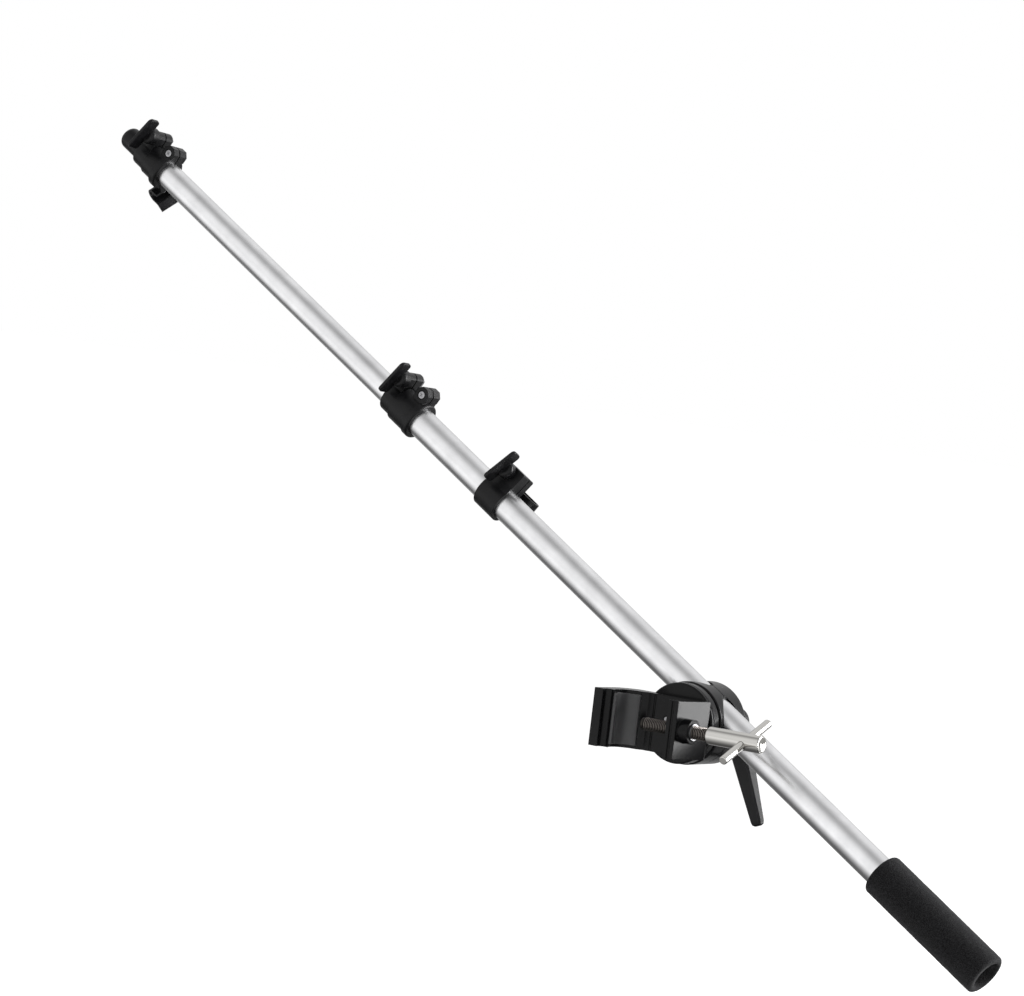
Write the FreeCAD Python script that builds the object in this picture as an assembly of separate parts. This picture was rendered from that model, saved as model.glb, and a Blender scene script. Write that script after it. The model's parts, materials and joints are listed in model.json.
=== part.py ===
import FreeCAD, Part
import math
import os

os.makedirs("parts", exist_ok=True)

V = FreeCAD.Vector

# Telescopic boom on a stand clamp, with two clips that hold a folding panel by its rim.
# The origin is the axis of the stand post at mid height of the clamp, on the clamp screw.
# X runs along the clamp screw to its handle, Y away from the post to the boom, Z up the post.
# Boom pieces are made along a level boom (x to the grip, z up), then tipped into place.

# Post clamp
POST_R = 14.0
CLAMP_H = 52.0
PAD_T = 2.5
PAD_H = 46.0
PAD_START = 92.0
PAD_END = 217.0
WEB_FRONT = 20.0
WEB_BACK = 32.0
FLANGE_FRONT = -13.0
FLANGE_OUT = 57.0
FLANGE_T = 10.5
FLANGE_LEAN = 9.6
BOSS_R = 11.0
BOSS_END = 68.0
HOOK_LEN = 8.0
HOOK_DROP = 6.0
HOOK_T = 9.5
HOOK_BULGE = 6.6
KNEE_IN = 2.5
KNEE_Y = 8.0
BACK_OUT = 4.0
BACK_Y = 22.0
SHOULDER_IN = 2.0
PAD_STEP = 5.0
LINE_R = 1.4
LINE_DEPTH = 1.6
WEB_LINE_IN = 12.0
WEB_LINE_R = 1.0
CORNER_R = 3.0
INSERT_WALL = 1.6
INSERT_OUT = 1.2

# Clamp screw
THREAD_R = 6.0
SCREW_TIP = 14.3
TIP_LEN = 3.0
HEAD_R = 8.0
HEAD_START = 84.5
HEAD_LEN = 55.0
DISH_R = 6.0
DISH_DEPTH = 1.5
BAR_R = 4.0
BAR_LEN = 76.0
BAR_FROM_END = 17.0
BAR_TURN = 25.0

# Swivel
SWIVEL_X = 30.0
SWIVEL_Z = 2.0
DISC_R = 36.5
DISC_T = 12.0
WASHER_R = 33.5
WASHER_T = 2.0
FRONT_JAW_R = 37.5
REAR_JAW_R = 37.5
REAR_JAW_T = 27.0
JAW_GAP = 0.8
BOOM_Y = 64.0
BOOM_OFF = 21.2
BOLT_R = 4.0
BOLT_HEAD_R = 7.0
BOLT_HEAD_T = 5.0
LINER_T = 1.2
LINER_LEN = 19.0

# Lever
LEVER_HUB_R = 14.0
LEVER_HUB_H = 44.0
LEVER_MID = 36.5
LEVER_LEN = 97.0
LEVER_TURN = 21.5
LEVER_RISE = 4.0
LEVER_ROOT_W = 17.5
LEVER_TIP_W = 11.0
LEVER_ROOT_D = 19.0
LEVER_TIP_D = 8.5
LEVER_EDGE = 0.14
LEVER_WASHER_R = 12.0
LEVER_WASHER_T = 1.6

# Boom
BOOM_TILT = 31.3
TUBE_WALL = 1.2
OUTER_R = 14.0
MIDDLE_R = 12.5
INNER_R = 11.0
OUTER_END = 350.0
MIDDLE_LEN = 720.0
INNER_LEN = 690.0
GLIDE_LEN = 10.0
GRIP_START = 229.4
GRIP_LEN = 134.0
GRIP_R = 20.4
PLUG_LEN = 22.0
CAP_LEN = 27.0
FIT = 0.05

# Locks
LOWER_LOCK_X = -441.4
UPPER_LOCK_X = -833.6
SLIDER_X = -300.1
SLIDER_LEN = 26.0
SLIDER_R = 17.7
SPLIT = 1.6
STUD_R = 3.0
KNOB_HUB_R = 8.5
KNOB_HUB_H = 11.0
WING_LEN = 37.0
WING_DEPTH = 15.0
WING_T = 3.4
WING_TILT = 9.0
BAND_SCREW_R = 2.0
BAND_HEAD_R = 3.4
NUT_R = 5.2
NUT_T = 4.0

# Clips
CLIP_W = 34.0
CLIP_T = 2.5
CLIP_SLOT = 10.0
UPPER_CLIP_LEN = 14.0
LOWER_CLIP_LEN = 34.0
CLIP_LIP = 9.0
RIVET_R = 2.0
RIVET_Y = 7.0
RIVET_LEN = 3.0
UPPER_RIVET_X = 20.8
LOWER_RIVET_X = 3.0
UPPER_CLIP_TURN = -45.0
LOWER_CLIP_TURN = -14.0
UPPER_CLIP_R = 18.6
LOWER_CLIP_R = 18.6
UPPER_CLIP_X = 17.0
LOWER_CLIP_X = 8.0


def save(shape, name):
    assert shape.isValid(), name
    shape.exportStep("parts/" + name + ".step")


def rod(r, start, end, axis="x", at=(0, 0)):
    # A round bar along one axis; at holds the other two coordinates in X, Y, Z order.
    a, b = at
    place = {"x": (V(start, a, b), V(1, 0, 0)),
             "y": (V(a, start, b), V(0, 1, 0)),
             "z": (V(a, b, start), V(0, 0, 1))}[axis]
    return Part.makeCylinder(r, end - start, place[0], place[1])


def ring(r_out, r_in, start, end, axis="x", at=(0, 0)):
    return rod(r_out, start, end, axis, at).cut(rod(r_in, start - 1, end + 1, axis, at))


def block(x0, x1, y0, y1, z0, z1):
    return Part.makeBox(x1 - x0, y1 - y0, z1 - z0, V(x0, y0, z0))


def prism(points, start, end, axis="z"):
    # A closed outline of points, pushed along an axis from start to end.
    if axis == "z":
        corners = [V(a, b, start) for a, b in points]
        push = V(0, 0, end - start)
    elif axis == "y":
        corners = [V(a, start, b) for a, b in points]
        push = V(0, end - start, 0)
    else:
        corners = [V(start, a, b) for a, b in points]
        push = V(end - start, 0, 0)
    return Part.Face(Part.makePolygon(corners + corners[:1])).extrude(push)


def polygon(sides, r, centre, turn=0.0):
    # Corners of a regular outline whose flats lie at r from the centre.
    reach = r / math.cos(math.pi / sides)
    step = 2 * math.pi / sides
    start = math.radians(turn)
    return [(centre[0] + reach * math.cos(start + (i + 0.5) * step),
             centre[1] + reach * math.sin(start + (i + 0.5) * step)) for i in range(sides)]


def turned(shape, axis, degrees, centre=V(0, 0, 0)):
    out = shape.copy()
    out.rotate(centre, axis, degrees)
    return out


def moved(shape, x=0.0, y=0.0, z=0.0):
    out = shape.copy()
    out.translate(V(x, y, z))
    return out


def soften(shape, r, pick):
    # Round the edges that pick chooses.
    edges = [e for e in shape.Edges if pick(e)]
    return shape.makeFillet(r, edges) if edges else shape


def round_edge_at(axis, place, radius):
    # Picks circular edges of one radius that lie at one place along an axis.
    def pick(edge):
        curve = edge.Curve
        if not isinstance(curve, Part.Circle) or abs(curve.Radius - radius) > 0.01:
            return False
        return abs(getattr(curve.Center, axis) - place) < 0.01
    return pick


def on_boom(shape):
    # Tips a piece of the level boom about the swivel and carries it to the jaws.
    out = moved(shape, SWIVEL_X, BOOM_Y, SWIVEL_Z + BOOM_OFF)
    return turned(out, V(0, 1, 0), BOOM_TILT, V(SWIVEL_X, 0, SWIVEL_Z))


def arc_face(points):
    # A face from a mixed outline: two points make a line, three make an arc.
    edges = []
    for stretch in points:
        ends = [V(x, y, 0) for x, y in stretch]
        if len(ends) == 2:
            edges.append(Part.LineSegment(*ends).toShape())
        else:
            edges.append(Part.Arc(*ends).toShape())
    return Part.Face(Part.Wire(edges))


def on_circle(r, degrees):
    return (r * math.cos(math.radians(degrees)), r * math.sin(math.radians(degrees)))


def flange_x(y, inside):
    # X of the leaning flange's outer or inner face at one Y.
    lean = math.tan(math.radians(FLANGE_LEAN))
    return FLANGE_OUT - (FLANGE_T if inside else 0) + (y - FLANGE_FRONT) * lean


def clamp_body():
    seat_r = POST_R + PAD_T
    seat = [on_circle(seat_r, a) for a in (PAD_START, (PAD_START + PAD_END) / 2, PAD_END)]
    tip_in = (seat[2][0] - HOOK_LEN, seat[2][1] - HOOK_DROP)
    tip_out = (tip_in[0] - HOOK_T, tip_in[1] + 0.05 * HOOK_T)
    knee = (tip_out[0] + KNEE_IN, KNEE_Y)
    shoulder = (seat[1][0] + SHOULDER_IN, WEB_BACK)
    line_x = FLANGE_OUT - 0.5 * FLANGE_T
    outline = [
        seat,
        (seat[2], (seat[2][0] - HOOK_BULGE, seat[2][1] + 0.1 * HOOK_DROP), tip_in),
        (tip_in, tip_out),
        (tip_out, knee),
        (knee, (knee[0] + BACK_OUT, BACK_Y), shoulder),
        (shoulder, (flange_x(WEB_BACK, False), WEB_BACK)),
        ((flange_x(WEB_BACK, False), WEB_BACK), (flange_x(FLANGE_FRONT, False), FLANGE_FRONT)),
        ((FLANGE_OUT, FLANGE_FRONT), (line_x + LINE_R, FLANGE_FRONT)),
        ((line_x + LINE_R, FLANGE_FRONT), (line_x, FLANGE_FRONT + LINE_DEPTH),
         (line_x - LINE_R, FLANGE_FRONT)),
        ((line_x - LINE_R, FLANGE_FRONT), (FLANGE_OUT - FLANGE_T, FLANGE_FRONT)),
        ((FLANGE_OUT - FLANGE_T, FLANGE_FRONT), (flange_x(WEB_FRONT, True), WEB_FRONT)),
        ((flange_x(WEB_FRONT, True), WEB_FRONT), (seat[0][0] + PAD_STEP, WEB_FRONT)),
        ((seat[0][0] + PAD_STEP, WEB_FRONT), seat[0]),
    ]
    body = arc_face(outline).extrude(V(0, 0, CLAMP_H))
    body = moved(body, z=-CLAMP_H / 2)
    body = soften(body, CORNER_R, lambda e: abs(e.BoundBox.ZLength - CLAMP_H) < 0.01
                  and abs(e.BoundBox.XMin - flange_x(WEB_BACK, False)) < 0.01)
    body = body.fuse(rod(BOSS_R, FLANGE_OUT, BOSS_END))
    body = body.cut(rod(THREAD_R + INSERT_WALL + FIT, 0, BOSS_END + 1))
    body = body.cut(rod(BOLT_R + FIT, WEB_FRONT - 1, WEB_BACK + 1, "y", (SWIVEL_X, SWIVEL_Z)))
    recess = prism(polygon(6, BOLT_HEAD_R + FIT, (SWIVEL_X, SWIVEL_Z)), WEB_FRONT - 1,
                   WEB_FRONT + BOLT_HEAD_T, "y")
    body = body.cut(recess)
    web_line = (seat[0][0] + WEB_LINE_IN, WEB_FRONT)
    body = body.cut(rod(WEB_LINE_R, -CLAMP_H, CLAMP_H, "z", web_line))
    return body.removeSplitter()


def jaw_pad():
    shell = ring(POST_R + PAD_T - FIT, POST_R, -PAD_H / 2, PAD_H / 2, "z")
    reach = 3 * POST_R
    wedge = [(0, 0)] + [on_circle(reach, a) for a in
                        (PAD_START, PAD_START + 40, PAD_START + 80, PAD_END - 2)]
    return shell.common(prism(wedge, -PAD_H, PAD_H))


def thread_insert():
    start = flange_x(0, True) + INSERT_WALL
    return ring(THREAD_R + INSERT_WALL, THREAD_R + FIT, start, BOSS_END + INSERT_OUT)


def clamp_screw():
    tip = SCREW_TIP + TIP_LEN
    screw = rod(THREAD_R, tip + 0.3, HEAD_START + 8.0)
    pin_hole = rod(2.0 + FIT, tip, tip + 6.0)
    return screw.cut(pin_hole)


def screw_tip():
    foot = rod(THREAD_R - 0.6, SCREW_TIP, SCREW_TIP + TIP_LEN)
    foot = soften(foot, 1.0, round_edge_at("x", SCREW_TIP, THREAD_R - 0.6))
    return foot.fuse(rod(2.0, SCREW_TIP + TIP_LEN, SCREW_TIP + TIP_LEN + 5.0))


def bar_turn(shape):
    return turned(shape, V(1, 0, 0), BAR_TURN)


def screw_head():
    end = HEAD_START + HEAD_LEN
    head = rod(HEAD_R, HEAD_START, end)
    head = soften(head, 1.5, lambda e: round_edge_at("x", end, HEAD_R)(e)
                  or round_edge_at("x", HEAD_START, HEAD_R)(e))
    head = head.cut(rod(THREAD_R + FIT, HEAD_START - 1, HEAD_START + 8.0))
    head = head.cut(Part.makeCone(0, DISH_R, DISH_DEPTH, V(end - DISH_DEPTH, 0, 0), V(1, 0, 0)))
    hole = rod(BAR_R + FIT, -BAR_LEN, BAR_LEN, "y", (end - BAR_FROM_END, 0))
    return head.cut(bar_turn(hole))


def cross_bar():
    at = (HEAD_START + HEAD_LEN - BAR_FROM_END, 0)
    bar = rod(BAR_R, -BAR_LEN / 2, BAR_LEN / 2, "y", at)
    bar = soften(bar, 1.0, lambda e: isinstance(e.Curve, Part.Circle))
    return bar_turn(bar)


def swivel_disc():
    disc = rod(DISC_R, WEB_BACK, WEB_BACK + DISC_T, "y", (SWIVEL_X, SWIVEL_Z))
    disc = soften(disc, 2.0, round_edge_at("y", WEB_BACK, DISC_R))
    lip = ring(DISC_R + 1, DISC_R - 0.8, WEB_BACK + 3.4, WEB_BACK + 4.2, "y", (SWIVEL_X, SWIVEL_Z))
    return disc.cut(lip).cut(rod(BOLT_R + FIT, 0, 90, "y", (SWIVEL_X, SWIVEL_Z)))


def friction_washer():
    start = WEB_BACK + DISC_T
    return ring(WASHER_R, BOLT_R + FIT, start, start + WASHER_T, "y", (SWIVEL_X, SWIVEL_Z))


def level_bore():
    return rod(OUTER_R + LINER_T + 2 * FIT, -80, 80)


def front_jaw():
    start = WEB_BACK + DISC_T + WASHER_T
    end = BOOM_Y - JAW_GAP / 2
    jaw = rod(FRONT_JAW_R, start, end, "y", (SWIVEL_X, SWIVEL_Z))
    jaw = soften(jaw, 1.5, round_edge_at("y", start, FRONT_JAW_R))
    return jaw.cut(rod(BOLT_R + FIT, 0, 90, "y", (SWIVEL_X, SWIVEL_Z))).cut(on_boom(level_bore()))


def rear_jaw():
    start = BOOM_Y + JAW_GAP / 2
    end = start + REAR_JAW_T
    jaw = rod(REAR_JAW_R, start, end, "y", (SWIVEL_X, SWIVEL_Z))
    jaw = soften(jaw, 6.0, round_edge_at("y", end, REAR_JAW_R))
    return jaw.cut(rod(BOLT_R + FIT, 0, 120, "y", (SWIVEL_X, SWIVEL_Z))).cut(on_boom(level_bore()))


def liner_bush():
    half = LINER_LEN / 2
    sleeve = ring(OUTER_R + LINER_T + FIT, OUTER_R + FIT, -half, half)
    return on_boom(sleeve)


def lever_start():
    return BOOM_Y + JAW_GAP / 2 + REAR_JAW_T + LEVER_WASHER_T


def lever_washer():
    end = lever_start()
    return ring(LEVER_WASHER_R, BOLT_R + FIT, end - LEVER_WASHER_T, end, "y", (SWIVEL_X, SWIVEL_Z))


def bolt_end():
    return lever_start() + 0.3 + 0.7 * LEVER_HUB_H


def swivel_bolt():
    head = prism(polygon(6, BOLT_HEAD_R, (SWIVEL_X, SWIVEL_Z)), WEB_FRONT + 0.4,
                 WEB_FRONT + BOLT_HEAD_T, "y")
    return head.fuse(rod(BOLT_R, WEB_FRONT + 1, bolt_end(), "y", (SWIVEL_X, SWIVEL_Z)))


def lever_insert():
    start = lever_start() + 0.3
    return ring(BOLT_R + 3.0, BOLT_R + FIT, start, bolt_end(), "y", (SWIVEL_X, SWIVEL_Z))


def lever_section(width, depth, drop, rise):
    # One closed section of the lever arm: a box with its four corners cut.
    half, cut = width / 2, LEVER_EDGE * width
    low = rise - depth / 2
    high = rise + depth / 2
    rim = [(-half, low + cut), (cut - half, low), (half - cut, low), (half, low + cut),
           (half, high - cut), (half - cut, high), (cut - half, high), (-half, high - cut)]
    corners = [V(SWIVEL_X + a, b, SWIVEL_Z - drop) for a, b in rim]
    return Part.makePolygon(corners + corners[:1])


def lever():
    start = lever_start() + 0.3
    top = start + LEVER_HUB_H
    hub = rod(LEVER_HUB_R, start, top, "y", (SWIVEL_X, SWIVEL_Z))
    hub = soften(hub, 7.0, round_edge_at("y", top, LEVER_HUB_R))
    mid = start + LEVER_MID
    wires = [lever_section(LEVER_ROOT_W, LEVER_ROOT_D, 0.0, mid),
             lever_section(LEVER_ROOT_W, LEVER_ROOT_D, LEVER_HUB_R, mid),
             lever_section(LEVER_TIP_W, LEVER_TIP_D, LEVER_LEN - 4.0, mid + LEVER_RISE),
             lever_section(0.85 * LEVER_TIP_W, 0.85 * LEVER_TIP_D, LEVER_LEN - 1.2,
                           mid + LEVER_RISE),
             lever_section(0.5 * LEVER_TIP_W, 0.5 * LEVER_TIP_D, LEVER_LEN, mid + LEVER_RISE)]
    arm = Part.makeLoft(wires, True, True)
    socket = rod(BOLT_R + 3.0 + FIT, start - 1, bolt_end() + 0.5, "y", (SWIVEL_X, SWIVEL_Z))
    body = hub.fuse(arm).cut(socket)
    return turned(body, V(0, 1, 0), -LEVER_TURN, V(SWIVEL_X, 0, SWIVEL_Z))


def tube(r, start, end):
    return ring(r, r - TUBE_WALL, start, end)


def grip_foam():
    end = GRIP_START + GRIP_LEN
    foam = ring(GRIP_R, OUTER_R + FIT, GRIP_START, end)
    return soften(foam, 2.6, lambda e: round_edge_at("x", GRIP_START, GRIP_R)(e)
                  or round_edge_at("x", end, GRIP_R)(e))


def end_plug():
    spigot = rod(OUTER_R - TUBE_WALL - FIT, OUTER_END - PLUG_LEN, OUTER_END)
    flange = rod(OUTER_R, OUTER_END + FIT, OUTER_END + 2.0)
    spigot = spigot.fuse(rod(OUTER_R - TUBE_WALL - FIT, OUTER_END, OUTER_END + 1.0))
    cup = rod(OUTER_R - 4.0, OUTER_END - 6.0, OUTER_END + 3.0)
    return spigot.fuse(flange).cut(cup).removeSplitter()


def glide(r_tube, r_around, end):
    # A sleeve seated on a tube's inner end that runs in the tube around it.
    return ring(r_around - TUBE_WALL - FIT, r_tube - TUBE_WALL, end, end + GLIDE_LEN)


def inner_cap(start):
    dome = rod(INNER_R, start - CAP_LEN, start)
    dome = soften(dome, 6.0, round_edge_at("x", start - CAP_LEN, INNER_R))
    return dome.fuse(rod(INNER_R - TUBE_WALL - FIT, start - 1, start + 18.0))


def ear(x0, x1, axis_z, half_w, y0, y1):
    # Clamping ears above a ring: a block with a rounded top, from y0 to y1.
    mid = (x0 + x1) / 2
    plate = block(x0, x1, y0, y1, 0, axis_z)
    top = rod(half_w, y0, y1, "y", (mid, axis_z))
    cap = block(x0, x1, y0, y1, axis_z - 0.1, axis_z + half_w)
    return plate.fuse(top.common(cap))


def lock_housing(r_small, r_large, spec):
    # A two-step sleeve: the big step sits on one tube, the small step grips the next.
    small, large, flange = spec["small_len"], spec["large_len"], spec["flange_len"]
    axis_z = spec["axis_z"]
    body = rod(spec["small_r"], -small, 0)
    body = soften(body, 1.2, round_edge_at("x", -small, spec["small_r"]))
    body = body.fuse(rod(spec["large_r"], 0, large))
    rim = rod(spec["flange_r"], large, large + flange)
    body = body.fuse(soften(rim, 2.0, round_edge_at("x", large + flange, spec["flange_r"])))
    body = body.fuse(ear(-small + 1.0, -1.2, axis_z, 7.0, -spec["ear_back"], spec["ear_back"]))
    screw_x, screw_z = spec["screw_x"], spec["screw_z"]
    boss = prism(polygon(8, 7.5, (screw_x, screw_z)), -spec["ear_front"], spec["ear_back"], "y")
    body = body.fuse(boss)
    body = body.fuse(block(screw_x - 7.0, screw_x + 7.0, -spec["ear_front"], spec["ear_back"],
                           0, screw_z))
    if "clip_turn" in spec:
        roll = spec["clip_turn"] + spec["lean"] - 90.0
        seat_end = UPPER_CLIP_X + UPPER_CLIP_LEN / 2
        body = body.fuse(clip_seat(large, seat_end, UPPER_CLIP_R, roll))
        body = body.cut(rivet_holes(UPPER_RIVET_X, UPPER_CLIP_R, roll))
    body = body.cut(rod(r_small + FIT, -small - 1, 0.1))
    body = body.cut(rod(r_large + FIT, 0, large + flange + 40))
    top = axis_z + 12.0
    body = body.cut(block(-small - 1, screw_x + 8.0, -SPLIT / 2, SPLIT / 2, 0, top))
    body = body.cut(block(-1.2, 0, -40, 40, 0.35 * spec["small_r"], top))
    body = body.cut(rod(STUD_R + FIT, -40, 40, "y", (spec["knob_x"], axis_z)))
    body = body.cut(rod(BAND_SCREW_R + FIT, -40, 40, "y", (screw_x, screw_z)))
    body = body.cut(rod(BAND_HEAD_R + 0.8, -40, -spec["ear_front"] + 1.6, "y", (screw_x, screw_z)))
    return body.removeSplitter()


def knob(at_x, axis_z, face_y):
    # A moulded T knob: a domed hub on the ear and a flat wing across it.
    end = face_y - KNOB_HUB_H
    hub = rod(KNOB_HUB_R, end, face_y, "y", (at_x, axis_z))
    hub = soften(hub, 4.0, round_edge_at("y", end, KNOB_HUB_R))
    wing = block(at_x - WING_T / 2, at_x + WING_T / 2, end + 3.0 - WING_DEPTH, end + 3.0,
                 axis_z - WING_LEN / 2, axis_z + WING_LEN / 2)
    wing = soften(wing, 4.0, lambda e: abs(e.BoundBox.XLength - WING_T) < 0.01)
    wing = soften(wing, 0.8, lambda e: e.Length > 3.5)
    wing = turned(wing, V(0, 1, 0), WING_TILT, V(at_x, 0, axis_z))
    socket = rod(STUD_R + FIT, face_y - 8.0, face_y + 1, "y", (at_x, axis_z))
    return hub.fuse(wing).cut(socket)


def knob_stud(at_x, axis_z, face_y, back_y):
    return rod(STUD_R, face_y - 7.5, back_y + NUT_T + 1.0, "y", (at_x, axis_z))


def hex_nut(at_x, axis_z, back_y, bore):
    nut = prism(polygon(6, NUT_R - 0.2, (at_x, axis_z)), back_y, back_y + NUT_T, "y")
    return nut.cut(rod(bore + FIT, back_y - 1, back_y + NUT_T + 1, "y", (at_x, axis_z)))


def band_screw(at_x, axis_z, front_y, back_y):
    head = rod(BAND_HEAD_R, front_y + 0.2, front_y + 1.6, "y", (at_x, axis_z))
    for turn in (0, 90):
        slot = block(at_x - 2.0, at_x + 2.0, front_y - 1, front_y + 1.0, axis_z - 0.35, axis_z + 0.35)
        head = head.cut(turned(slot, V(0, 1, 0), turn + 30, V(at_x, 0, axis_z)))
    return head.fuse(rod(BAND_SCREW_R, front_y + 1.5, back_y + 3.0, "y", (at_x, axis_z)))


def band_nut(at_x, axis_z, back_y):
    nut = prism(polygon(6, 3.5, (at_x, axis_z)), back_y, back_y + 2.5, "y")
    return nut.cut(rod(BAND_SCREW_R + FIT, back_y - 1, back_y + 4, "y", (at_x, axis_z)))


def clip_seat(x0, x1, radius, roll):
    # A flat seat for a clip on the back of a ring.
    return turned(block(x0, x1, -CLIP_W / 3, CLIP_W / 3, 0, radius), V(1, 0, 0), roll)


def rivet_holes(at_x, radius, roll):
    holes = [rod(RIVET_R + FIT, radius - RIVET_LEN, radius + 1, "z", (at_x, side * RIVET_Y))
             for side in (-1, 1)]
    return turned(Part.makeCompound(holes), V(1, 0, 0), roll)


def slider_ring(spec):
    half = SLIDER_LEN / 2
    axis_z = spec["axis_z"]
    body = rod(SLIDER_R, -half, half)
    side = 0.92 * SLIDER_R
    front, back = spec["ear_front"], spec["ear_back"]
    top = axis_z + 8.0
    knee = axis_z - 9.0
    flank = [(-side, 0.35 * SLIDER_R), (-front, knee), (-front, top), (back, top),
             (back, knee), (side, 0.35 * SLIDER_R)]
    body = body.fuse(prism(flank, -half, half, "x"))
    body = soften(body, 1.5, lambda e: e.Length > 10 and e.BoundBox.ZMin > axis_z + 7.5
                  and e.BoundBox.XLength < 0.01)
    roll = LOWER_CLIP_TURN + spec["lean"] - 90.0
    body = body.fuse(clip_seat(-half, half, LOWER_CLIP_R, roll))
    body = body.cut(rivet_holes(LOWER_RIVET_X, LOWER_CLIP_R, roll))
    body = body.cut(rod(OUTER_R + FIT, -half - 1, half + 1))
    body = body.cut(block(-half - 1, half + 1, -SPLIT / 2, SPLIT / 2, 0, axis_z + 12.0))
    return body.cut(rod(STUD_R + FIT, -40, 40, "y", (spec["knob_x"], axis_z)))


def clip(radius, length, toward_grip):
    # A strap bent to a U along the boom; the mouth faces the grip or the boom's tip.
    half = CLIP_W / 2
    inner = radius
    r_bend = CLIP_SLOT / 2
    mid = inner + CLIP_T + r_bend
    closed = -length / 2 + r_bend + CLIP_T
    mouth = length / 2
    strap = block(closed, mouth, -half, half, inner, inner + CLIP_T)
    outer = block(closed, mouth, -half, half, inner + CLIP_T + CLIP_SLOT,
                  inner + 2 * CLIP_T + CLIP_SLOT)
    bend = ring(r_bend + CLIP_T, r_bend, -half, half, "y", (closed, mid))
    bend = bend.common(block(closed - 20, closed, -half, half, 0, 90))
    lip = block(mouth, mouth + CLIP_LIP, -half, half, mid + r_bend, mid + r_bend + CLIP_T)
    lip = turned(lip, V(0, 1, 0), -35, V(mouth, 0, mid + r_bend + CLIP_T / 2))
    body = strap.fuse(outer).fuse(bend).fuse(lip).removeSplitter()
    if not toward_grip:
        body = turned(body, V(0, 0, 1), 180)
    return body


LOWER = {"small_len": 14.2, "large_len": 21.3, "flange_len": 7.0, "small_r": 16.3,
         "large_r": 18.0, "flange_r": 19.0, "axis_z": 23.0, "ear_front": 9.0, "ear_back": 11.5,
         "lean": 3.0, "knob_x": -7.4, "screw_x": 16.8, "screw_z": 22.8}
UPPER = {"small_len": 15.5, "large_len": 16.0, "flange_len": 7.5, "small_r": 14.3,
         "large_r": 15.8, "flange_r": 18.5, "axis_z": 20.5, "ear_front": 9.0, "ear_back": 11.4,
         "lean": 5.0, "knob_x": -9.0, "screw_x": 15.8, "screw_z": 18.3,
         "clip_turn": UPPER_CLIP_TURN}
SLIDER = {"axis_z": 24.5, "ear_front": 14.5, "ear_back": 9.5, "lean": 20.0, "knob_x": -3.0}


def place_lock(shape, lock_x, lean):
    # The ears of a ring lean back about the boom, away from the clamp screw's side.
    return on_boom(moved(turned(shape, V(1, 0, 0), -lean), x=lock_x))


def build_lock(name, lock_x, r_small, r_large, spec):
    knob_x, axis_z = spec["knob_x"], spec["axis_z"]
    screw_x, screw_z = spec["screw_x"], spec["screw_z"]
    face, back = -spec["ear_back"], spec["ear_back"]
    pieces = {
        "lock_housing": lock_housing(r_small, r_large, spec),
        "knob": knob(knob_x, axis_z, face),
        "knob_stud": knob_stud(knob_x, axis_z, face, back),
        "knob_nut": hex_nut(knob_x, axis_z, back, STUD_R),
        "band_screw": band_screw(screw_x, screw_z, -spec["ear_front"], back),
        "band_nut": band_nut(screw_x, screw_z, back),
    }
    for piece, shape in pieces.items():
        save(place_lock(shape, lock_x, spec["lean"]), name + "_" + piece)


def build_slider():
    axis_z, knob_x = SLIDER["axis_z"], SLIDER["knob_x"]
    face, back = -SLIDER["ear_front"], SLIDER["ear_back"]
    pieces = {
        "slider_ring": slider_ring(SLIDER),
        "slider_knob": knob(knob_x, axis_z, face),
        "slider_knob_stud": knob_stud(knob_x, axis_z, face, back),
        "slider_knob_nut": hex_nut(knob_x, axis_z, back, STUD_R),
    }
    for piece, shape in pieces.items():
        save(place_lock(shape, SLIDER_X, SLIDER["lean"]), piece)


def build_clip(name, radius, length, centre_x, turn, toward_grip, rivet_x):
    # The clip lies on the flat seat of its ring, held by two rivets.
    roll = turn - 90.0
    body = moved(clip(radius, length, toward_grip), x=centre_x)
    rivets = []
    for side in (-1, 1):
        y = side * RIVET_Y
        shank = rod(RIVET_R, radius - RIVET_LEN, radius + CLIP_T, "z", (rivet_x, y))
        head = rod(1.6 * RIVET_R, radius + CLIP_T, radius + CLIP_T + 1.0, "z", (rivet_x, y))
        body = body.cut(rod(RIVET_R + FIT, radius - 5, radius + CLIP_T + 0.1, "z", (rivet_x, y)))
        rivets.append(shank.fuse(head))
    save(on_boom(turned(body, V(1, 0, 0), roll)), name)
    save(on_boom(turned(Part.makeCompound(rivets), V(1, 0, 0), roll)), name + "_rivets")


save(clamp_body(), "clamp_body")
save(jaw_pad(), "jaw_pad")
save(thread_insert(), "thread_insert")
save(screw_tip(), "screw_tip")
save(clamp_screw(), "clamp_screw")
save(screw_head(), "screw_head")
save(cross_bar(), "cross_bar")
save(swivel_disc(), "swivel_disc")
save(friction_washer(), "friction_washer")
save(front_jaw(), "front_jaw")
save(rear_jaw(), "rear_jaw")
save(liner_bush(), "liner_bush")
save(lever_washer(), "lever_washer")
save(swivel_bolt(), "swivel_bolt")
save(lever_insert(), "lever_insert")
save(lever(), "lever")

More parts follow.
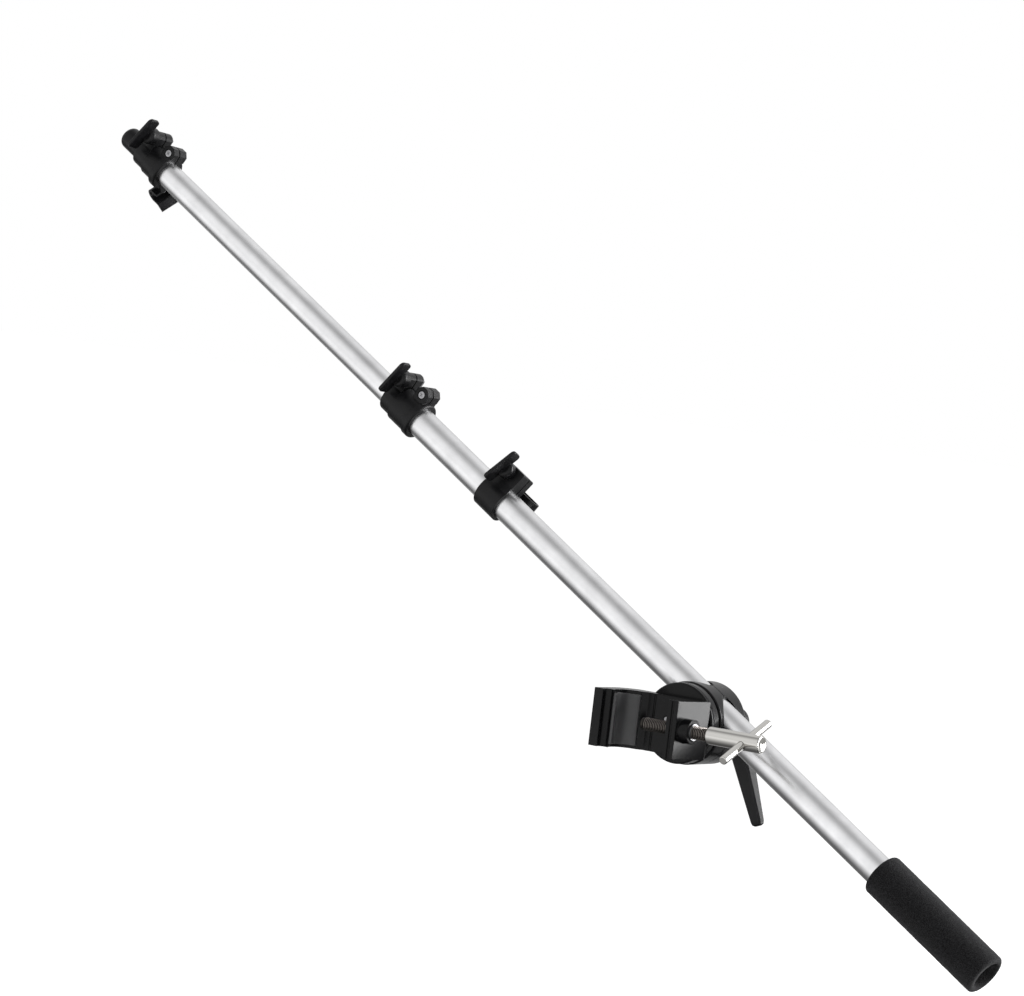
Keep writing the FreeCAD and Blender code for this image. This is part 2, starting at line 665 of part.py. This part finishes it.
middle_start = UPPER_LOCK_X + FIT
middle_end = middle_start + MIDDLE_LEN
inner_start = UPPER_LOCK_X - UPPER["small_len"]
inner_end = inner_start + INNER_LEN
save(on_boom(tube(OUTER_R, LOWER_LOCK_X + FIT, OUTER_END)), "outer_tube")
save(on_boom(tube(MIDDLE_R, middle_start, middle_end)), "middle_tube")
save(on_boom(tube(INNER_R, inner_start, inner_end)), "inner_tube")
save(on_boom(glide(MIDDLE_R, OUTER_R, middle_end)), "middle_glide")
save(on_boom(glide(INNER_R, MIDDLE_R, inner_end)), "inner_glide")
save(on_boom(inner_cap(inner_start)), "inner_end_cap")
save(on_boom(grip_foam()), "grip_foam")
save(on_boom(end_plug()), "tube_end_plug")
build_lock("lower", LOWER_LOCK_X, MIDDLE_R, OUTER_R, LOWER)
build_lock("upper", UPPER_LOCK_X, INNER_R, MIDDLE_R, UPPER)
build_slider()
build_clip("upper_clip", UPPER_CLIP_R, UPPER_CLIP_LEN, UPPER_LOCK_X + UPPER_CLIP_X,
           UPPER_CLIP_TURN, True, UPPER_LOCK_X + UPPER_RIVET_X)
build_clip("lower_clip", LOWER_CLIP_R, LOWER_CLIP_LEN, SLIDER_X + LOWER_CLIP_X,
           LOWER_CLIP_TURN, False, SLIDER_X + LOWER_RIVET_X)
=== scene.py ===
import json
import math
import bmesh
import bpy
from mathutils import Matrix, Vector, noise as lumps


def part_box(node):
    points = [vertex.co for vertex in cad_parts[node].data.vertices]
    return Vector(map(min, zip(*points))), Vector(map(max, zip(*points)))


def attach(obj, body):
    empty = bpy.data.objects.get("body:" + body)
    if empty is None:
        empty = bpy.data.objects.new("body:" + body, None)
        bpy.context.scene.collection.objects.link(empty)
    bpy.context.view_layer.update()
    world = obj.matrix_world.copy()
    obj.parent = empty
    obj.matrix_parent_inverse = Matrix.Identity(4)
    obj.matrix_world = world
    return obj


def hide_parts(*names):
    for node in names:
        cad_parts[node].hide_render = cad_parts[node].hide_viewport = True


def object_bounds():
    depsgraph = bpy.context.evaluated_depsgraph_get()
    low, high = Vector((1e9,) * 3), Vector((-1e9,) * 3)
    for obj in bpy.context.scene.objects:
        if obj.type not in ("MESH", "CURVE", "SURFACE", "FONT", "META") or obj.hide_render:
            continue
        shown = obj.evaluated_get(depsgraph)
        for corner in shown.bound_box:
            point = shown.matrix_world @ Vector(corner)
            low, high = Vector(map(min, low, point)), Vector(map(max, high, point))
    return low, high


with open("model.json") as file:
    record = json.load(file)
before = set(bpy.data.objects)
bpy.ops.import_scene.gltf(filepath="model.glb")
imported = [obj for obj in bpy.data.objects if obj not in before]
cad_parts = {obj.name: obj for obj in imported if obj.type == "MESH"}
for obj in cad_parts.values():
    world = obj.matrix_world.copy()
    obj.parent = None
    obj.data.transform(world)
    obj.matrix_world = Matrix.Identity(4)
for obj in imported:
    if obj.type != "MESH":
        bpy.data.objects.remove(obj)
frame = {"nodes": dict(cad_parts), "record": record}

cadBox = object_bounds()
scene = bpy.context.scene
nodes = frame["nodes"]
joints = {j["name"]: j for j in frame["record"]["behaviour"]["joints"]}

# Lines of the object that several pieces use, all read from the frame
boomDir = Vector(joints["boom_slide"]["axis"]).normalized()
boomPoint = Vector(joints["boom_roll"]["pos_m"])
boomUp = Vector((-boomDir.z, 0.0, boomDir.x))


# Camera: a long lens at the photograph's angle

cameraSettings = {
    "right": (0.8146, 0.56792, 0.11786),  # world direction of the picture's right edge
    "back": (0.56674, -0.82258, 0.04653),  # from the object towards the camera
    "lensMm": 155.9,
    "sensorMm": 36,
    "clipEnd": 50,
    "distance": 3.9497,                   # from the clamp, metres
    "clampPixel": (629.5, 720.8),         # where the stand post's axis meets the clamp screw
    "framePixels": (1024, 996),
    "metrePerPixel": 0.0008905,
}


def makeCamera(s):
    back = Vector(s["back"]).normalized()
    right = Vector(s["right"])
    right = (right - back * right.dot(back)).normalized()
    up = back.cross(right)
    wide, high = s["framePixels"]
    offRight = (s["clampPixel"][0] - wide / 2) * s["metrePerPixel"]
    offUp = (high / 2 - s["clampPixel"][1]) * s["metrePerPixel"]
    place = back * s["distance"] - right * offRight - up * offUp
    data = bpy.data.cameras.new("camera")
    data.lens = s["lensMm"]
    data.sensor_width = s["sensorMm"]
    data.clip_end = s["clipEnd"]
    cam = bpy.data.objects.new("camera", data)
    turn = Matrix((right, up, back)).transposed().to_4x4()
    cam.matrix_world = Matrix.Translation(place) @ turn
    scene.collection.objects.link(cam)
    scene.camera = cam
    return cam


camera = makeCamera(cameraSettings)
print("camera placed")


# Material helpers

def newMaterial(name):
    mat = bpy.data.materials.new(name)
    mat.use_nodes = True
    tree = mat.node_tree
    return mat, tree, tree.nodes["Principled BSDF"]


def addNode(tree, kind, **values):
    node = tree.nodes.new(kind)
    for key, value in values.items():
        if hasattr(node, key):
            setattr(node, key, value)
        else:
            node.inputs[key].default_value = value
    return node


def objectCoords(tree, scale=(1, 1, 1), turn=(0, 0, 0)):
    coords = tree.nodes.new("ShaderNodeTexCoord")
    mapping = tree.nodes.new("ShaderNodeMapping")
    mapping.inputs["Scale"].default_value = scale
    mapping.inputs["Rotation"].default_value = turn
    tree.links.new(coords.outputs["Object"], mapping.inputs["Vector"])
    return mapping.outputs["Vector"]


def noise(tree, vector, scale, detail=4.0, roughness=0.6):
    node = tree.nodes.new("ShaderNodeTexNoise")
    node.inputs["Scale"].default_value = scale
    node.inputs["Detail"].default_value = detail
    node.inputs["Roughness"].default_value = roughness
    tree.links.new(vector, node.inputs["Vector"])
    return node.outputs["Fac"]


def ramp(tree, value, stops):
    node = tree.nodes.new("ShaderNodeValToRGB")
    band = node.color_ramp
    while len(band.elements) < len(stops):
        band.elements.new(0.5)
    for element, (place, colour) in zip(band.elements, stops):
        element.position = place
        element.color = (*colour, 1)
    tree.links.new(value, node.inputs["Fac"])
    return node.outputs["Color"]


def rangeOf(tree, value, low, high, fromLow=0.0, fromHigh=1.0):
    node = tree.nodes.new("ShaderNodeMapRange")
    node.inputs["From Min"].default_value = fromLow
    node.inputs["From Max"].default_value = fromHigh
    node.inputs["To Min"].default_value = low
    node.inputs["To Max"].default_value = high
    tree.links.new(value, node.inputs["Value"])
    return node.outputs["Result"]


def bump(tree, shader, height, relief, edgeRadius=0.0):
    node = tree.nodes.new("ShaderNodeBump")
    node.inputs["Strength"].default_value, node.inputs["Distance"].default_value = relief
    tree.links.new(height, node.inputs["Height"])
    if edgeRadius:
        edge = tree.nodes.new("ShaderNodeBevel")
        edge.samples = 6
        edge.inputs["Radius"].default_value = edgeRadius
        tree.links.new(edge.outputs["Normal"], node.inputs["Normal"])
    tree.links.new(node.outputs["Normal"], shader.inputs["Normal"])


# Satin anodised tube: drawn lines along the boom and faint cloudiness

tubeFinish = {
    "dark": (0.66, 0.66, 0.67), "light": (0.78, 0.78, 0.79), "roughLow": 0.26, "roughHigh": 0.36,
    "lineScale": 1400, "lineDetail": 6, "stretch": 0.006,  # lines run on along the boom
    "cloudScale": 40, "cloudDetail": 3,
    "relief": (0.12, 0.0001),                              # bump strength, depth in metres
}


def satinAluminium(s):
    mat, tree, shader = newMaterial("satinAluminium")
    drawn = objectCoords(tree, (s["stretch"], 1, 1), (0, math.asin(boomDir.z), 0))
    lines = noise(tree, drawn, s["lineScale"], s["lineDetail"])
    clouds = noise(tree, objectCoords(tree), s["cloudScale"], s["cloudDetail"])
    tree.links.new(ramp(tree, clouds, [(0.3, s["dark"]), (0.7, s["light"])]),
                   shader.inputs["Base Color"])
    tree.links.new(rangeOf(tree, lines, s["roughLow"], s["roughHigh"]), shader.inputs["Roughness"])
    bump(tree, shader, lines, s["relief"])
    shader.inputs["Metallic"].default_value = 1.0
    return mat


# Black powder-coated casting: fine orange peel, edges catch light

castFinish = {
    "dark": (0.003, 0.003, 0.0033), "light": (0.006, 0.006, 0.0065),
    "roughLow": 0.18, "roughHigh": 0.25, "gloss": 0.15,
    "peelScale": 900, "peelDetail": 3, "patchScale": 60, "patchDetail": 4,
    "relief": (0.18, 0.0002), "edge": 0.0012,              # edge is the shown rounding, metres
}


def blackCoat(s, name):
    mat, tree, shader = newMaterial(name)
    peel = noise(tree, objectCoords(tree), s["peelScale"], s["peelDetail"])
    patches = noise(tree, objectCoords(tree), s["patchScale"], s["patchDetail"])
    tree.links.new(ramp(tree, patches, [(0.35, s["dark"]), (0.75, s["light"])]),
                   shader.inputs["Base Color"])
    tree.links.new(rangeOf(tree, patches, s["roughLow"], s["roughHigh"]), shader.inputs["Roughness"])
    bump(tree, shader, peel, s["relief"], s["edge"])
    shader.inputs["Specular IOR Level"].default_value = s["gloss"]
    return mat


# Moulded black plastic: a little lighter and softer than the casting

plasticFinish = {
    **castFinish, "dark": (0.004, 0.004, 0.0045), "light": (0.009, 0.009, 0.010),
    "roughLow": 0.28, "roughHigh": 0.42, "gloss": 0.2, "peelScale": 1600, "edge": 0.0006,
}

# Dark grey rubbery pad in the clamp's mouth

padFinish = {
    **castFinish, "dark": (0.030, 0.030, 0.031), "light": (0.045, 0.045, 0.046),
    "roughLow": 0.32, "roughHigh": 0.42, "gloss": 0.5, "peelScale": 1200, "edge": 0.0006,
}


# Polished chrome: faint wiping scratches

chromeFinish = {
    "colour": (0.50, 0.49, 0.47), "roughLow": 0.05, "roughHigh": 0.14,
    "streakScale": 700, "streakDetail": 5, "stretch": 0.2, "relief": (0.03, 0.0001), "edge": 0.0004,
}


def chrome(s):
    mat, tree, shader = newMaterial("chrome")
    along = objectCoords(tree, (s["stretch"], 1, 1))
    streaks = noise(tree, along, s["streakScale"], s["streakDetail"])
    tree.links.new(rangeOf(tree, streaks, s["roughLow"], s["roughHigh"]), shader.inputs["Roughness"])
    bump(tree, shader, streaks, s["relief"], s["edge"])
    shader.inputs["Base Color"].default_value = (*s["colour"], 1)
    shader.inputs["Metallic"].default_value = 1.0
    return mat


# Oiled thread: colour darker towards the roots and lighter towards the crests, by distance from the
# axis

threadFinish = {
    "root": (0.010, 0.009, 0.008), "crest": (0.34, 0.31, 0.29),
    "rootRadius": 0.0050, "crestRadius": 0.0060, "roughLow": 0.3, "roughHigh": 0.5,
    "smearScale": 500, "smearDetail": 3,
}


def oiledThread(s):
    mat, tree, shader = newMaterial("oiledThread")
    coords = objectCoords(tree, (0, 1, 1))
    radius = addNode(tree, "ShaderNodeVectorMath", operation="LENGTH")
    tree.links.new(coords, radius.inputs[0])
    depth = rangeOf(tree, radius.outputs["Value"], 0, 1, s["rootRadius"], s["crestRadius"])
    tree.links.new(ramp(tree, depth, [(0.35, s["root"]), (0.95, s["crest"])]),
                   shader.inputs["Base Color"])
    smear = noise(tree, objectCoords(tree), s["smearScale"], s["smearDetail"])
    tree.links.new(rangeOf(tree, smear, s["roughLow"], s["roughHigh"]), shader.inputs["Roughness"])
    shader.inputs["Metallic"].default_value = 1.0
    return mat


# Zinc-plated fasteners

zincFinish = {
    "dark": (0.26, 0.26, 0.27), "light": (0.40, 0.40, 0.41), "roughLow": 0.24, "roughHigh": 0.36,
    "stainScale": 220, "stainDetail": 5, "relief": (0.08, 0.0001), "edge": 0.0003,
}


def zincSteel(s):
    mat, tree, shader = newMaterial("zincSteel")
    stain = noise(tree, objectCoords(tree), s["stainScale"], s["stainDetail"])
    tree.links.new(ramp(tree, stain, [(0.3, s["dark"]), (0.7, s["light"])]),
                   shader.inputs["Base Color"])
    tree.links.new(rangeOf(tree, stain, s["roughLow"], s["roughHigh"]), shader.inputs["Roughness"])
    bump(tree, shader, stain, s["relief"], s["edge"])
    shader.inputs["Metallic"].default_value = 1.0
    return mat


# Closed-cell foam: dark grey, matt, a fine open grain

foamFinish = {
    "dark": (0.003, 0.003, 0.0033), "light": (0.036, 0.036, 0.038),
    "grainScale": 1400, "grainDetail": 3, "grainRough": 0.7, "poreScale": 1000,
    "relief": (0.8, 0.0007), "rough": 0.92, "gloss": 0.12, "sheen": 0.04, "sheenRough": 0.5,
}


def foam(s):
    mat, tree, shader = newMaterial("foam")
    grain = noise(tree, objectCoords(tree), s["grainScale"], s["grainDetail"], s["grainRough"])
    pores = tree.nodes.new("ShaderNodeTexVoronoi")
    pores.inputs["Scale"].default_value = s["poreScale"]
    tree.links.new(objectCoords(tree), pores.inputs["Vector"])
    skin = addNode(tree, "ShaderNodeMath", operation="MULTIPLY")
    tree.links.new(grain, skin.inputs[0])
    tree.links.new(pores.outputs["Distance"], skin.inputs[1])
    tree.links.new(ramp(tree, grain, [(0.38, s["dark"]), (0.66, s["light"])]),
                   shader.inputs["Base Color"])
    bump(tree, shader, skin.outputs[0], s["relief"])
    shader.inputs["Roughness"].default_value = s["rough"]
    shader.inputs["Specular IOR Level"].default_value = s["gloss"]
    shader.inputs["Sheen Weight"].default_value = s["sheen"]
    shader.inputs["Sheen Roughness"].default_value = s["sheenRough"]
    return mat


materials = {
    "satin_aluminium": satinAluminium(tubeFinish),
    "black_casting": blackCoat(castFinish, "blackCasting"),
    "black_plastic": blackCoat(plasticFinish, "blackPlastic"),
    "chrome": chrome(chromeFinish),
    "dark_steel": oiledThread(threadFinish),
    "zinc_steel": zincSteel(zincFinish),
    "foam": foam(foamFinish),
    "grey_pad": blackCoat(padFinish, "greyPad"),
    "liner": blackCoat(plasticFinish, "linerPlastic"),
}
for part in frame["record"]["subparts"]:
    node = nodes[part["node"]]
    node.data.materials.clear()
    node.data.materials.append(materials[part["material_slot"]])
print("materials on", len(nodes), "nodes")


# Clamp screw: a metric thread, turned in code, in place of the plain rod

threadSettings = {
    "pitch": 0.00175, "crest": 0.00598, "root": 0.0049, "steps": 36,
    "form": [(0.0, "root"), (0.10, "root"), (0.44, "crest"), (0.56, "crest"),
             (0.90, "root"), (1.0, "root")],               # shares of the pitch
}


def addPiece(name, form, body, material, smooth=True):
    mesh = bpy.data.meshes.new(name)
    for face in form.faces:
        face.smooth = smooth
    form.to_mesh(mesh)
    form.free()
    piece = bpy.data.objects.new(name, mesh)
    scene.collection.objects.link(piece)
    mesh.materials.append(materials[material])
    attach(piece, body)
    return piece


def makeThread(s):
    low, high = (Vector(corner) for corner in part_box("clamp_screw"))
    pitch, steps = s["pitch"], s["steps"]
    turns = math.ceil((high.x - low.x) / pitch) + 2        # one spare turn past each end
    first = low.x - pitch
    form = bmesh.new()
    verts = [form.verts.new((first + share * pitch, 0.0, s[level])) for share, level in s["form"]]
    edges = [form.edges.new(pair) for pair in zip(verts, verts[1:])]
    bmesh.ops.spin(form, geom=verts + edges, cent=(0, 0, 0), axis=(1, 0, 0),
                   dvec=(pitch / steps, 0, 0), angle=2 * math.pi * turns,
                   steps=steps * turns)
    bmesh.ops.remove_doubles(form, verts=form.verts, dist=pitch / 400)
    for plane, side in ((low.x, -1), (high.x, 1)):
        cut = bmesh.ops.bisect_plane(form, geom=form.verts[:] + form.edges[:] + form.faces[:],
                                     plane_co=(plane, 0, 0), plane_no=(side, 0, 0),
                                     clear_outer=True)
        rim = [e for e in cut["geom_cut"] if isinstance(e, bmesh.types.BMEdge)]
        bmesh.ops.holes_fill(form, edges=rim, sides=0)
    bmesh.ops.recalc_face_normals(form, faces=form.faces)
    thread = addPiece("screwThread", form, "screw", "dark_steel", smooth=False)
    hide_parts("clamp_screw")


makeThread(threadSettings)
print("thread turned")


# Grip: a soft foam sleeve with rolled ends and a slightly uneven skin

gripSettings = {
    "roll": 0.0032, "rollSteps": 8, "bore": 0.01405, "rings": 150, "around": 144,
    "uneven": 0.00018, "lumpScale": 240.0, "fineScale": 3.1, "fineShare": 0.5,
    "skin": 0.001,                                         # the bore stays even up to here
}


def alongBoom(point):
    return (point - boomPoint).dot(boomDir)


def makeGrip(s):
    mesh = nodes["grip_foam"].data
    spans = [alongBoom(v.co) for v in mesh.vertices]
    start, end = min(spans), max(spans)
    side = boomDir.cross(boomUp)
    radius = max(math.hypot((v.co - boomPoint).dot(boomUp), (v.co - boomPoint).dot(side))
                 for v in mesh.vertices) - 2 * s["uneven"]
    roll = s["roll"]
    bends = [math.radians(90 * k / s["rollSteps"]) for k in range(s["rollSteps"] + 1)]
    profile = [(start, s["bore"])]
    for a in bends:
        profile.append((start + roll - roll * math.cos(a), radius - roll + roll * math.sin(a)))
    for k in range(1, s["rings"]):
        profile.append((start + roll + (end - start - 2 * roll) * k / s["rings"], radius))
    for a in bends:
        profile.append((end - roll + roll * math.sin(a), radius - roll + roll * math.cos(a)))
    profile.append((end, s["bore"]))
    form = bmesh.new()
    verts = [form.verts.new(boomPoint + boomDir * x + boomUp * r) for x, r in profile]
    edges = [form.edges.new(pair) for pair in zip(verts, verts[1:] + verts[:1])]
    bmesh.ops.spin(form, geom=verts + edges, cent=boomPoint, axis=boomDir,
                   angle=2 * math.pi, steps=s["around"], use_merge=True)
    bmesh.ops.remove_doubles(form, verts=form.verts, dist=1e-6)
    bmesh.ops.recalc_face_normals(form, faces=form.faces)
    for vert in form.verts:
        out = vert.co - boomPoint - boomDir * alongBoom(vert.co)
        if out.length > s["bore"] + s["skin"]:
            fine = lumps.noise(vert.co * s["fineScale"] * s["lumpScale"])
            lump = lumps.noise(vert.co * s["lumpScale"]) + s["fineShare"] * fine
            vert.co += out.normalized() * lump * s["uneven"]
    grip = addPiece("foamGrip", form, "boom", "foam")
    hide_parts("grip_foam")


makeGrip(gripSettings)
print("foam grip made")


# Stage: white floor and world, a soft key from the upper right, a fill and a side light

stageSettings = {
    "floorDrop": 0.45,                     # floor below the object's lowest point, metres
    "floorSize": 60.0,
    "floorColour": (0.93, 0.93, 0.93),
    "floorRough": 0.8,
    "floorGlow": 0.90,                     # what the camera sees on top of the lit floor
    "worldLight": 0.14,
    "softBoxes": [                         # right, up, back from the clamp; size; watts; in gloss
        {"at": (2.1, 2.1, 0.6), "size": (1.8, 1.8), "watts": 72, "mirrored": False},
        {"at": (-2.2, 0.8, 1.9), "size": (1.2, 2.0), "watts": 16, "mirrored": False},
        {"at": (3.2, 0.30, -0.32), "size": (1.4, 2.3), "watts": 165, "mirrored": True},
    ],
    # painted reflection: the floor glows to gloss rays with this brightness in place of its lit
    # shade; metres behind the stand post, brightness
    "floorPaintedReflection": [(-3.0, 1.38), (-1.6, 1.30), (-1.0, 0.95), (-0.5, 0.56), (-0.2, 0.28),
                   (0.0, 0.14), (0.4, 0.12), (1.5, 0.55)],
    # what gloss sees around the boom: degrees from the camera's side, brightness
    "surround": [(-180, 0.55), (-150, 0.20), (-120, 0.40), (-90, 0.56), (-60, 0.88), (-38, 1.18),
                 (-10, 1.22), (10, 1.05), (30, 0.68), (50, 0.46), (72, 0.72), (97, 1.05),
                 (134, 0.95), (180, 0.55)],
}


def rayMix(tree, shadeOutput, seenOutput, seenBy):
    # Rays of the named kinds see one shader and all others the plain one.
    path = tree.nodes.new("ShaderNodeLightPath")
    last = path.outputs[seenBy[0]]
    for kind in seenBy[1:]:
        both = addNode(tree, "ShaderNodeMath", operation="MAXIMUM")
        tree.links.new(last, both.inputs[0])
        tree.links.new(path.outputs[kind], both.inputs[1])
        last = both.outputs[0]
    mix = tree.nodes.new("ShaderNodeMixShader")
    tree.links.new(last, mix.inputs[0])
    tree.links.new(shadeOutput, mix.inputs[1])
    tree.links.new(seenOutput, mix.inputs[2])
    return mix.outputs[0]


def surroundColour(tree, stops):
    # A ring of soft light and shade about the boom, by direction alone.
    toCamera = camera.matrix_world.to_3x3() @ Vector((0, 0, 1))
    front = (toCamera - boomDir * toCamera.dot(boomDir)).normalized()
    above = front.cross(boomDir)
    if above.z < 0:
        above = -above
    coords = tree.nodes.new("ShaderNodeTexCoord")
    parts = []
    for direction in (above, front):
        dot = addNode(tree, "ShaderNodeVectorMath", operation="DOT_PRODUCT")
        dot.inputs[1].default_value = direction
        tree.links.new(coords.outputs["Generated"], dot.inputs[0])
        parts.append(dot.outputs["Value"])
    angle = addNode(tree, "ShaderNodeMath", operation="ARCTAN2")
    tree.links.new(parts[0], angle.inputs[0])
    tree.links.new(parts[1], angle.inputs[1])
    share = rangeOf(tree, angle.outputs[0], 0, 1, -math.pi, math.pi)
    return ramp(tree, share, [((a + 180) / 360, (v, v, v)) for a, v in stops])


def makeFloor(s):
    form = bmesh.new()
    bmesh.ops.create_grid(form, x_segments=1, y_segments=1, size=s["floorSize"] / 2)
    bmesh.ops.translate(form, verts=form.verts, vec=(0, 0, cadBox[0][2] - s["floorDrop"]))
    mesh = bpy.data.meshes.new("floor")
    form.to_mesh(mesh)
    form.free()
    floor = bpy.data.objects.new("floor", mesh)
    scene.collection.objects.link(floor)
    mat, tree, shader = newMaterial("paleFloor")
    shader.inputs["Base Color"].default_value = (*s["floorColour"], 1)
    shader.inputs["Roughness"].default_value = s["floorRough"]
    shader.inputs["Specular IOR Level"].default_value = 0.0
    glow = tree.nodes.new("ShaderNodeEmission")
    glow.inputs["Strength"].default_value = s["floorGlow"]
    lit = tree.nodes.new("ShaderNodeAddShader")
    tree.links.new(shader.outputs[0], lit.inputs[0])
    tree.links.new(glow.outputs[0], lit.inputs[1])
    place = tree.nodes.new("ShaderNodeSeparateXYZ")
    tree.links.new(objectCoords(tree), place.inputs[0])
    # painted reflection: a glow by place that gloss rays see on the floor instead of its lit shading
    near, far = s["floorPaintedReflection"][0][0], s["floorPaintedReflection"][-1][0]
    share = rangeOf(tree, place.outputs["Y"], 0, 1, near, far)
    stops = [((d - near) / (far - near), (v, v, v)) for d, v in s["floorPaintedReflection"]]
    sheen = tree.nodes.new("ShaderNodeEmission")
    tree.links.new(ramp(tree, share, stops), sheen.inputs["Color"])
    shown = rayMix(tree, shader.outputs[0], sheen.outputs[0], ("Is Glossy Ray",))
    seen = rayMix(tree, shown, lit.outputs[0], ("Is Camera Ray", "Is Transmission Ray"))
    tree.links.new(seen, tree.nodes["Material Output"].inputs["Surface"])
    mesh.materials.append(mat)


def makeWorld(s):
    world = bpy.data.worlds.new("studio")
    world.use_nodes = True
    scene.world = world
    tree = world.node_tree
    soft = tree.nodes["Background"]
    soft.inputs["Color"].default_value = (1, 1, 1, 1)
    soft.inputs["Strength"].default_value = s["worldLight"]
    white = tree.nodes.new("ShaderNodeBackground")
    white.inputs["Color"].default_value = (1, 1, 1, 1)
    gloss = tree.nodes.new("ShaderNodeBackground")
    tree.links.new(surroundColour(tree, s["surround"]), gloss.inputs["Color"])
    shown = rayMix(tree, soft.outputs[0], gloss.outputs[0], ("Is Glossy Ray",))
    seen = rayMix(tree, shown, white.outputs[0], ("Is Camera Ray", "Is Transmission Ray"))
    tree.links.new(seen, tree.nodes["World Output"].inputs["Surface"])


def makeLights(s):
    basis = camera.matrix_world.to_3x3()
    for number, spec in enumerate(s["softBoxes"]):
        data = bpy.data.lights.new("softBox%d" % number, "AREA")
        data.shape = "RECTANGLE"
        data.size, data.size_y = spec["size"]
        data.energy = spec["watts"]
        lamp = bpy.data.objects.new(data.name, data)
        place = basis @ Vector(spec["at"])
        aim = (-place).to_track_quat("-Z", "Y")
        lamp.matrix_world = Matrix.Translation(place) @ aim.to_matrix().to_4x4()
        lamp.visible_glossy = spec["mirrored"]
        lamp.visible_camera = False
        scene.collection.objects.link(lamp)


makeFloor(stageSettings)
makeWorld(stageSettings)
makeLights(stageSettings)
scene.view_settings.view_transform = "Standard"
print("stage lit")
